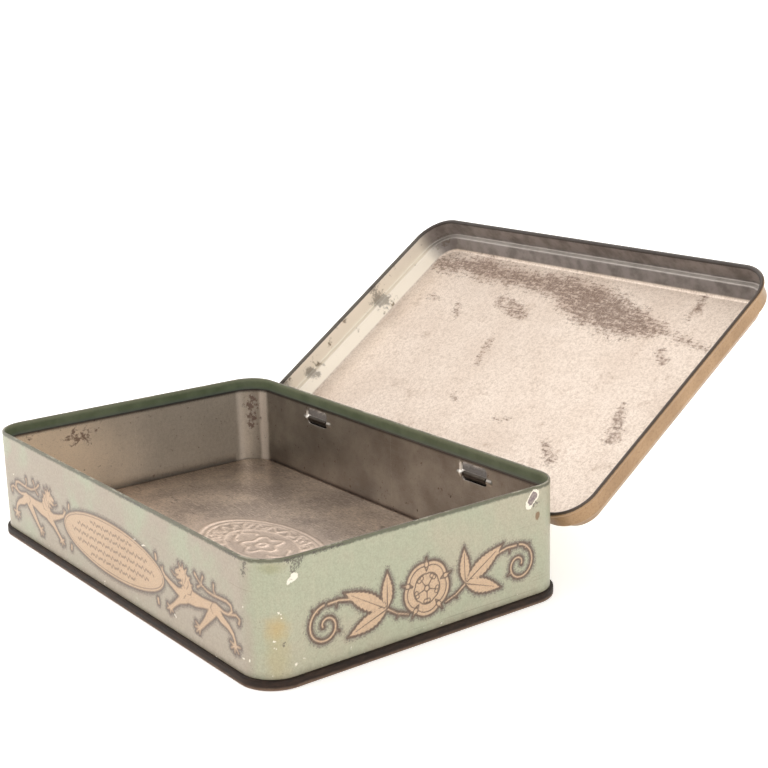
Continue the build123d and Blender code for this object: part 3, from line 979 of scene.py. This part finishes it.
def printed_wall_finish():
    """Sage green print with gold motifs, grimy on the front, flaked and chipped down to grey tin."""
    f = Finish("printed_sage_green", Roughness=0.42, Coat_Weight=0.2, Coat_Roughness=0.25)
    cloud = f.noise(14.0, 4.0)
    mottle = f.noise(0.8, 3.0, 0.7)
    fine = f.noise(0.42, 2.0, 0.7)
    streak = f.noise(1.1, 2.0, 0.6, (1, 1, 14))
    rise = f.axis("Z")
    f.ground(f.over(cloud, 0.35, 0.65), (156, 158, 134), (164, 157, 135))
    f.lay(f.over(mottle, 0.4, 0.7) * 0.35, 140, 142, 120)
    f.lay(f.over(streak, 0.5, 0.75) * 0.25, 172, 164, 140)
    front = f.over(f.axis("Y"), -HALF_WIDTH + 1.5, -HALF_WIDTH)
    dirt = front * f.over(cloud + f.over(rise, 28, 8) * 0.12, 0.3, 0.6)
    f.lay(dirt * 0.62, 156, 138, 126)
    turned = f.distance((HALF_LENGTH - 1, -HALF_WIDTH + 4.8, 15.3), (3.6, 3.6, 3.8))
    f.lay(f.over(turned + f.noise(2.0) * 0.7, 1.55, 0.4) * 0.6, 178, 144, 78)
    drip = f.distance((HALF_LENGTH - 1, -HALF_WIDTH + 4.8, 8), (4, 4, 10))
    f.lay(f.over(drip + f.noise(2.0) * 0.7, 1.5, 0.5) * 0.42, 158, 144, 96)
    olive = f.distance((HALF_LENGTH - 1.4, -HALF_WIDTH + 4.2, 30), (4, 4, 1.8))
    f.lay(f.over(olive + f.noise(1.5) * 0.7, 1.5, 0.5) * 0.5, 128, 128, 84)
    f.lay(f.over(fine, 0.42, 0.66) * 0.14, 118, 114, 98)
    printed_motifs(f, (188, 158, 128), (78, 56, 42), (88, 72, 64), 0.9 - front * 0.3)
    f.lay(f.over(fine, 0.56, 0.36) * 0.08, 212, 202, 178)
    grime = f.over(rise + f.noise(2.2) * 3.0, 6.4, 3.0)
    f.lay(grime * 0.5, 88, 78, 60)
    scratch = f.noise(0.5, 1.0, 0.5, (60, 60, 1.0))
    f.lay(f.over(scratch, 0.72, 0.78) * 0.35, 104, 98, 78)
    ragged = f.noise(1.2, 4.0, 0.75) - 0.5
    worn_edge = f.over(rise + ragged * 1.2, RIM - 1.3, RIM - 0.65)
    f.lay(worn_edge * 0.85, 66, 66, 44)
    near_scuff = f.over(f.attribute("scuffs"), 1.3, -0.6)
    scuffs = f.over(f.noise(0.6, 3.0, 0.7) + near_scuff * 0.3, 0.66, 0.74)
    f.lay(scuffs * 0.65, 62, 52, 46)
    flakes = f.attribute("flakes") + ragged * 1.5
    flaked = f.over(flakes, 0.04, -0.06)
    freckles = f.over(f.noise(1.5, 3.0, 0.75) + f.over(rise, 9, 3) * 0.07, 0.745, 0.765)
    f.lay(flaked | freckles, 222, 214, 198)
    bare = f.over(f.attribute("bare") + ragged * 1.2, 0.15, -0.05)
    f.lay(bare, f.mix(f.over(mottle, 0.4, 0.6), paint(122, 108, 108), paint(150, 138, 132)))
    rust = f.distance((HALF_LENGTH, 37.6, 24.2), (1, 1.0, 1.5)) + ragged * 1.4
    f.lay(f.over(rust, 0.9, 0.6) * 0.8, 112, 76, 36)
    f.set(Metallic=bare * 0.6, Roughness=0.34 + cloud * 0.2 + mottle * 0.08)
    return f.finished(cloud * 0.5 + mottle * 0.06 - flaked * 0.25 - bare * 0.15, 0.12, 0.6)


def rim_paint_shaded_lit_finish():
    """Dark olive: the print's green on the rim and hem, darkened as painted shade, with painted highlights
    making it paler at the top and along the fold.
    """
    f = Finish("rim_paint_shaded_lit", Roughness=0.3, Coat_Weight=0.3, Coat_Roughness=0.2)
    rise = f.axis("Z")
    cloud = f.noise(6.0, 4.0)
    uneven = f.noise(0.9, 4.0, 0.7) - 0.5
    # painted shade: the ground is the wall's green darkened, as the rim and hem lie in shade
    f.ground(f.over(cloud, 0.35, 0.7), (78, 90, 66), (94, 104, 80))
    # painted reflection: paler towards the top of the hem and over the rim
    pale = f.over(rise + uneven * 0.8, RIM - 1.6, RIM - 0.5)
    f.lay(pale * 0.75, 122, 126, 102)
    fold = f.over(rise + uneven * 0.4, RIM - 0.3, RIM - 0.12)
    f.lay(fold * 0.8, 84, 76, 54)
    # painted highlight along the fold, broken into patches by noise
    painted_highlight = fold * f.over(f.noise(3.0, 4.0, 0.75, (2, 2, 1)), 0.5, 0.62)
    f.lay(painted_highlight * 0.5, 170, 164, 144)
    # painted highlight: a bluish sheen along the hem's lower edge
    hem_edge_highlight = f.over(rise + uneven * 0.6, RIM - HEM_DEPTH + 1.5, RIM - HEM_DEPTH + 0.5)
    f.lay(hem_edge_highlight * 0.5, 84, 92, 92)
    # painted shadow: a near-black line at the foot of the hem
    foot = f.over(rise + uneven * 0.3, RIM - HEM_DEPTH + 0.4, RIM - HEM_DEPTH + 0.2)
    f.lay(foot * 0.85, 34, 34, 38)
    f.set(Roughness=0.26 + cloud * 0.16 + fold * 0.1)
    return f.finished(cloud + uneven * 0.2, 0.1, 0.5)


def bare_tin(name, light, dark, metal=0.85, rough=0.3):
    """Aged bare tinplate: cloudy tarnish, fine mottling and rolling lines."""
    f = Finish(name, Roughness=rough, Metallic=metal)
    cloud = f.noise(16.0, 5.0, 0.6)
    mottle = f.noise(1.1, 4.0, 0.7)
    lines = f.noise(0.5, 2.0, 0.6, (18, 1, 1))
    f.ground(f.over(cloud, 0.3, 0.7), light, dark)
    f.lay(f.over(mottle, 0.45, 0.75) * 0.35, *dark)
    f.lay(f.over(lines, 0.5, 0.8) * 0.25, *light)
    return f, cloud, mottle


def tin_inside_finish():
    """Inside of the wall: grey-brown tin, warmer at the left front and rusty at its bends; the left wall is
    brightened with painted light, painted highlights streak the bends and mark the loops beside the slots,
    and painted shade lies under the hem.
    """
    f, cloud, mottle = bare_tin("tin_inside", (174, 168, 160), (140, 133, 126), 0.9)
    fine = f.noise(0.35, 3.0, 0.7)
    # painted light: the left wall is painted lighter and less metallic, as it faces the light
    left = f.over(f.axis("X"), -HALF_LENGTH + 9, -HALF_LENGTH + 0.6)
    f.lay(left * 0.7, f.mix(f.over(mottle, 0.3, 0.7), paint(200, 190, 174), paint(186, 175, 160)))
    warm = f.over(f.distance((-HALF_LENGTH, -HALF_WIDTH + 5, 10), (30, 50, 50)) + cloud * 0.5, 1.3, 0.45)
    f.lay(warm * 0.8, 226, 202, 172)
    # painted reflection: bright upright stripes in the corner bends stand in for the lamps' reflection
    bend = f.attribute("bend") + (f.noise(4.0, 3.0, 0.6, (1, 1, 5)) - 0.5) * 0.12
    painted_highlight = f.over(abs(bend - 0.9), 0.14, 0.0) * 0.6 | f.over(abs(bend - 0.28), 0.17, 0.06)
    f.lay(painted_highlight * 0.8, 240, 228, 214)
    blot = f.noise(2.2, 4.0, 0.7)
    corner = f.distance((-HALF_LENGTH + 2, HALF_WIDTH - 4, 21), (3, 3, 10))
    front = f.distance((-HALF_LENGTH, -19, 24), (3, 9, 3.6))
    front = front & f.distance((-HALF_LENGTH, -35, 27), (3, 3, 1.5))
    rust = f.over(blot + f.over(corner & front, 1.3, 0.2) * 0.2, 0.62, 0.76)
    f.lay(rust * 0.8, 88, 56, 40)
    spots = f.over(f.noise(1.6, 2.0, 0.6) + cloud * 0.06, 0.74, 0.8)
    f.lay(spots * 0.7, 52, 44, 40)
    shade = f.over(f.axis("Z") + fine * 0.6, RIM - HEM_DEPTH - 0.9, RIM - HEM_DEPTH + 0.1)
    f.lay(shade * 0.8, 40, 38, 42)
    # painted highlights: bright spots just left of each slot, where the pressed loops catch the light
    slot_glint_spot = f.distance((HINGE_X - 5.9, HALF_WIDTH, 25.2), (0.8, 9, 2.6))
    slot_glint_spot = slot_glint_spot & f.distance((-HINGE_X - 5.6, HALF_WIDTH, 24.8), (0.8, 9, 1.7))
    slot_glint = f.over(slot_glint_spot + (mottle - 0.5) * 1.2, 1.0, 0.5)
    f.lay(slot_glint, 250, 244, 236)
    f.lay(f.over(fine, 0.45, 0.7) * 0.18, 70, 62, 56)
    metal = 0.9 - rust * 0.6 - warm * 0.5 - painted_highlight * 0.3 - left * 0.3 - slot_glint * 0.4
    f.set(Roughness=0.26 + mottle * 0.14 + rust * 0.3, Metallic=metal)
    return f.finished(cloud + mottle * 0.1, 0.15, 0.5)


def floor_finish():
    """Upper side of the floor: warm scuffed tin with dark blots and a rusty line along its bend; the raised
    pattern is painted lighter on its ridges and darker between them, as painted highlight and shade.
    """
    f, cloud, mottle = bare_tin("tin_floor", (196, 176, 158), (150, 134, 122), 0.8)
    fine = f.noise(0.6, 4.0, 0.75)
    hairs = f.noise(0.5, 3.0, 0.7, (6, 1, 1))
    warm = f.over(f.distance((-50, -HALF_WIDTH, 4), (70, 50, 60)) + (cloud - 0.5) * 0.9, 1.2, 0.5)
    f.lay(warm * 0.6, 232, 202, 176)
    f.lay(f.over(fine, 0.44, 0.6) * 0.5, 104, 90, 80)
    f.lay(f.over(hairs, 0.52, 0.66) * 0.45, 226, 204, 182)
    # painted highlight and shade: the raised pattern is painted lighter on its ridges and darker in its
    # hollows, strongest near the middle
    ornament = f.over(f.attribute("raised"), 0.02, 0.2)
    near_ornament = f.over(f.distance((0, 0, FLOOR), (30, 18, 9)) + (fine - 0.5) * 0.4, 1.05, 0.9)
    f.lay(near_ornament * 0.5, f.mix(ornament, paint(176, 156, 141), paint(220, 197, 178)))
    edge = abs(f.axis("X")) - HALF_LENGTH | abs(f.axis("Y")) - HALF_WIDTH
    f.lay(f.over(edge + mottle * 0.6, -1.5, -1.0) * 0.85, 96, 66, 48)
    blots = f.over(f.noise(3.4, 4.0, 0.7, (2, 1, 1)), 0.6, 0.74)
    f.lay(blots * 0.6, 84, 72, 66)
    f.set(Roughness=0.3 + mottle * 0.16 + blots * 0.2, Metallic=0.8 - warm * 0.3 - blots * 0.2)
    return f.finished(cloud + mottle * 0.12 + fine * 0.05, 0.15, 0.6)


def seam_finish():
    """Rolled seam at the foot: nearly black lacquer, painted lighter brown on its lower edge as a highlight
    from the white floor.
    """
    f = Finish("seam_lacquer", Roughness=0.5, Metallic=0.1, Specular_IOR_Level=0.2)
    wear = f.noise(1.4, 4.0, 0.65, (3, 3, 1))
    rise = f.axis("Z")
    f.ground(f.over(wear, 0.35, 0.75), (32, 23, 18), (54, 40, 31))
    # painted highlight: the lower rounded edge is painted lighter brown, where the white floor lights it
    painted_highlight = f.over(rise + wear * 0.9, 1.7, 0.7)
    f.lay(painted_highlight * 0.8, 122, 100, 84)
    f.set(Roughness=0.42 + wear * 0.3)
    return f.finished(wear, 0.12, 0.7)


def underside_finish():
    """Underside of the sunk floor: browned tin with freckles of rust."""
    f, cloud, _ = bare_tin("tin_underside", (150, 134, 116), (104, 88, 72), 0.7)
    rust = f.over(f.noise(3.0, 5.0, 0.7), 0.58, 0.72)
    f.lay(rust * 0.8, 98, 60, 34)
    f.set(Roughness=0.4 + rust * 0.3, Metallic=0.8 - rust * 0.6)
    return f.finished(cloud + rust * 0.3, 0.15, 0.6)


def lid_inside_finish():
    """Inside of the lid: pale cream tin with a scoured dark stain; dull skirt and shoulder; painted light on
    the left skirt and along the ledge, and painted shade along the edge by the hinge.
    """
    f = Finish("lid_inside_tin", Roughness=0.4, Metallic=0.45)
    axes = [f.attribute("shut_" + axis) for axis in "xyz"]
    place = f.node("ShaderNodeCombineXYZ", {}, dict(enumerate(axes)))
    across, along, rise = axes
    cloud = f.noise(22.0, 5.0, 0.6, place=place)
    mottle = f.noise(1.2, 5.0, 0.75, place=place)
    fibres = f.noise(0.9, 4.0, 0.7, (5, 1, 1), place=place)
    fine = f.noise(0.5, 3.0, 0.7, place=place)
    f.ground(f.over(cloud, 0.3, 0.7), (223, 208, 194), (212, 195, 180))
    f.lay(f.over(mottle, 0.42, 0.68) * 0.5, 178, 158, 142)
    f.lay(f.over(fine, 0.45, 0.66) * 0.4, 150, 128, 112)
    faint = f.over(f.noise(7.0, 5.0, 0.7, place=place) + mottle * 0.2, 0.66, 0.82)
    f.lay(faint * 0.45, 160, 136, 118)
    stain = f.attribute("stain")
    ragged = (f.noise(5.0, 3.0, 0.6, place=place) - 0.5) * 0.7
    stain = stain + ragged * f.over(stain, 0, 0.3)
    scoured = f.over((mottle + fibres) * 0.5 + stain * 0.16, 0.54, 0.68) * f.over(stain, 0.02, 0.25)
    f.lay(f.over(stain + (cloud - 0.5) * 0.5, 0.2, 0.9) * 0.4, 150, 120, 100)
    f.lay(scoured * (0.1 + fine * 1.1), 90, 64, 48)
    flecks = f.over(f.noise(0.9, 3.0, 0.7, place=place) + cloud * 0.1, 0.74, 0.8)
    f.lay(flecks * 0.55, 110, 86, 74)
    sides = f.over(rise, PANEL - 0.3, PANEL - 0.9)
    patches = f.noise(5.0, 4.0, 0.6, place=place)
    dull = f.mix(f.over(patches, 0.35, 0.7), paint(150, 142, 138), paint(122, 114, 110))
    # painted light: the left skirt is painted a lighter beige and less metallic than the other sides, as it
    # is lit
    left = f.over(across, -HALF_LENGTH + 9, -HALF_LENGTH + 6)
    left = left * f.over(along, -HALF_WIDTH + 4, -HALF_WIDTH + 12)
    beige = f.mix(f.over(patches, 0.6, 0.72), paint(244, 235, 220), paint(140, 124, 102))
    f.lay(sides, f.mix(left, dull, beige))
    smudge = f.distance((-HALF_LENGTH, -12, LEDGE), (5, 3.2, 6), place)
    smudge = smudge & f.distance((-HALF_LENGTH + 5, -HALF_WIDTH + 5, LEDGE), (5, 5, 2.5), place)
    smudge = smudge & f.distance((-HALF_LENGTH, 26, LEDGE), (5, 2.5, 2.5), place)
    f.lay(f.over(smudge + (patches + mottle - 1) * 2.6, 1.1, 0.4) * 0.6, 84, 72, 58)
    # painted highlight: a light line along the ledge
    ledge = f.over(abs(rise - LEDGE), 0.25, 0.05)
    f.lay(ledge * 0.35, 214, 206, 196)
    lip = f.over(rise + fine * 0.4, MOUTH + 1.25, MOUTH + 1.0)
    f.lay(lip * 0.9, 46, 36, 30)
    # painted shade: the panel's edge by the hinge, seen through the slots, is painted dark and dull, as it
    # lies in the shade between lid and wall
    slot_view_shade = f.over(along + (patches - 0.5) * 5 + (mottle - 0.5) * 4, 33.5, 38.5) * f.over(across, 42, 30)
    f.lay(slot_view_shade * 0.9, 44, 34, 28)
    metal = 0.45 - scoured * 0.2 + sides * 0.35 - left * 0.3 - slot_view_shade * 0.4 - lip * 0.7 | 0.0
    rough = 0.36 + mottle * 0.12 + scoured * 0.15 + slot_view_shade * 0.2 + sides * 0.16
    f.set(Roughness=rough, Metallic=metal)
    return f.finished(cloud * 0.6 + mottle * 0.1 + fibres * 0.08, 0.16, 0.5)


def lid_gold_finish():
    """Outside of the lid's skirt and shoulder: plain tan gold lacquer with a dark lip."""
    f = Finish("gold_lacquer", Roughness=0.38, Metallic=0.25, Coat_Weight=0.3, Coat_Roughness=0.2)
    cloud = f.noise(9.0, 4.0)
    fine = f.noise(0.6, 3.0, 0.7)
    f.ground(f.over(cloud, 0.3, 0.7), (166, 133, 96), (150, 118, 82))
    f.lay(f.over(fine, 0.45, 0.7) * 0.4, 116, 86, 56)
    rise = f.attribute("shut_z")
    edge = f.over(rise + fine * 0.5, MOUTH + 0.75, MOUTH + 0.5)
    f.lay(edge * 0.92, 52, 39, 31)
    rubs = f.over(f.noise(2.0, 4.0, 0.75), 0.7, 0.76)
    f.lay(rubs * 0.5, 120, 100, 80)
    f.set(Roughness=0.34 + cloud * 0.14 + edge * 0.1)
    return f.finished(cloud + fine * 0.05, 0.12, 0.5)


def lid_top_finish():
    """Top of the lid: the wall's sage green with the gold border and rose, scuffed by use."""
    f = Finish("lid_top_print", Roughness=0.42, Coat_Weight=0.25, Coat_Roughness=0.25)
    cloud = f.noise(18.0, 4.0)
    mottle = f.noise(0.9, 3.0, 0.7)
    f.ground(f.over(cloud, 0.35, 0.65), (164, 166, 142), (174, 172, 148))
    f.lay(f.over(mottle, 0.45, 0.7) * 0.3, 150, 152, 130)
    printed_motifs(f, (186, 156, 126), (98, 72, 54), (92, 75, 68), 0.85)
    scuffs = f.over(f.noise(2.2, 5.0, 0.8, (3, 1, 1)), 0.66, 0.74)
    f.lay(scuffs * 0.5, 150, 140, 122)
    f.set(Roughness=0.36 + cloud * 0.16 + scuffs * 0.1)
    return f.finished(cloud + mottle * 0.06 - scuffs * 0.1, 0.12, 0.6)


def hinge_finish(name, light, dark):
    """Dull steel of the lugs and pins, clouded between the light and the dark paint; both paints are kept
    dark as painted shade, as the lugs and pins sit in the slots.
    """
    f, _, mottle = bare_tin(name, light, dark, 0.95, 0.35)
    f.set(Roughness=0.3 + mottle * 0.25)
    return f.finished(mottle, 0.05, 0.5)


# ------------------------------------------------------------------ pieces on their bodies
for wall_piece in make_body_wall([printed_wall_finish(), rim_paint_shaded_lit_finish(), tin_inside_finish()]):
    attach(wall_piece, "tin_body")
    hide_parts("body_wall")

base = make_base_panel([floor_finish(), seam_finish(), underside_finish()])
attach(base, "tin_body")
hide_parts("base_panel")

lid = make_lid([lid_top_finish(), lid_gold_finish(), lid_inside_finish()])
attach(lid, "lid")
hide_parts("lid_shell")

# painted shade: lugs and pins get dark paints so the slots read as dark holes in shade
strip_finish = hinge_finish("hinge_strip_tin", (74, 66, 58), (40, 34, 30))
wire_finish = hinge_finish("hinge_wire_steel", (120, 112, 104), (58, 50, 44))
for hand in ("left", "right"):
    for node, node_finish in ((f"hinge_lug_{hand}", strip_finish), (f"hinge_pin_{hand}", wire_finish)):
        frame["nodes"][node].data.materials.clear()
        frame["nodes"][node].data.materials.append(node_finish)


# ------------------------------------------------------------------ studio
def make_floor():
    """Pale floor that sweeps up at a distance: height rises with the square of the way past its rim."""
    half_side, flat_radius, sweep = 2.4, 1.2, 0.6
    stops = np.linspace(-half_side, half_side, 97)
    x, y = np.meshgrid(stops, stops, indexing="ij")
    rise = sweep * np.maximum(np.hypot(x, y) - flat_radius, 0) ** 2
    points = np.stack([x, y, rise], -1).reshape(-1, 3) / METRES
    faces = strip_faces(np.arange(x.size).reshape(x.shape))
    paper = Finish(
        "studio_paper", Roughness=0.9, Base_Color=paint(252, 251, 249), Emission_Color=paint(255, 254, 252),
        Emission_Strength=0.4,
    )
    return make_piece("studio_floor", points, faces[:, ::-1], np.zeros(len(faces)), [paper.material])


def add_softbox(name, place, aim, size, power):
    """Rectangular light at place that shines towards aim, in metres and watts."""
    light = bpy.data.lights.new(name, "AREA")
    light.shape, light.size, light.size_y, light.energy = "RECTANGLE", size[0], size[1], power
    lamp = bpy.data.objects.new(name, light)
    bpy.context.scene.collection.objects.link(lamp)
    lamp.location = place
    lamp.rotation_euler = (Vector(aim) - Vector(place)).to_track_quat("-Z", "Y").to_euler()


def add_camera(place, aim, roll, lens):
    """Camera at place that looks at aim, turned about its own line of sight by roll."""
    camera = bpy.data.objects.new("camera", bpy.data.cameras.new("camera"))
    camera.data.lens, camera.data.sensor_width = lens, 36.0
    camera.data.clip_start = 0.01
    turn = (Vector(aim) - Vector(place)).to_track_quat("-Z", "Y").to_matrix()
    camera.matrix_world = Matrix.Translation(place) @ (turn @ Matrix.Rotation(roll, 3, "Z")).to_4x4()
    bpy.context.scene.collection.objects.link(camera)
    bpy.context.scene.camera = camera


make_floor()
centre = (0.01, 0.02, 0.03)
add_softbox("key_softbox", (-0.5, -0.35, 0.9), centre, (0.9, 0.9), 6.0)
add_softbox("right_softbox", (0.95, -0.1, 0.55), centre, (0.7, 0.7), 3.0)
add_softbox("back_softbox", (-0.5, 0.7, 0.8), centre, (0.9, 0.6), 3.5)

studio = bpy.data.worlds.new("studio")
studio.use_nodes = True
studio.node_tree.nodes["Background"].inputs["Color"].default_value = paint(255, 253, 250)
studio.node_tree.nodes["Background"].inputs["Strength"].default_value = 0.6
bpy.context.scene.world = studio
bpy.context.scene.view_settings.view_transform = "Standard"

add_camera((0.34001, -0.20834, 0.15292), (0.0157, 0.03346, 0.04881), math.radians(-1.471), 68.94)
